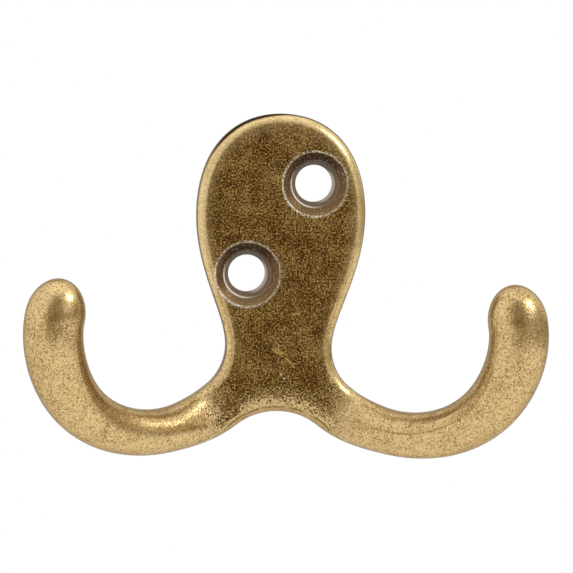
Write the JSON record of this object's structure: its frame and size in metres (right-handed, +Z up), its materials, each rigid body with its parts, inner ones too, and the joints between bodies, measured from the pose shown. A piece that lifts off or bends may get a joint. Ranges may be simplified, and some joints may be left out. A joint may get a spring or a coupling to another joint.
{
  "type": "double robe hook",
  "caption": "Wall hook cast in one piece: an egg-shaped plate with countersunk screw holes and a pair of arms that swing forward and curl up to rounded tips.",
  "frame": {"origin": "on the wall face of the plate, midway between the two screw holes", "axes": "+X to the right as seen from the front, +Y into the wall, +Z up"},
  "size_m": [0.0704, 0.0243, 0.0471],
  "materials": {
    "antique_brass": "antique brass, sandy dark patina rubbed bright on the raised edges"
  },
  "bodies": {
    "root": {"hook_casting": "antique_brass"}
  },
  "joints": []
}
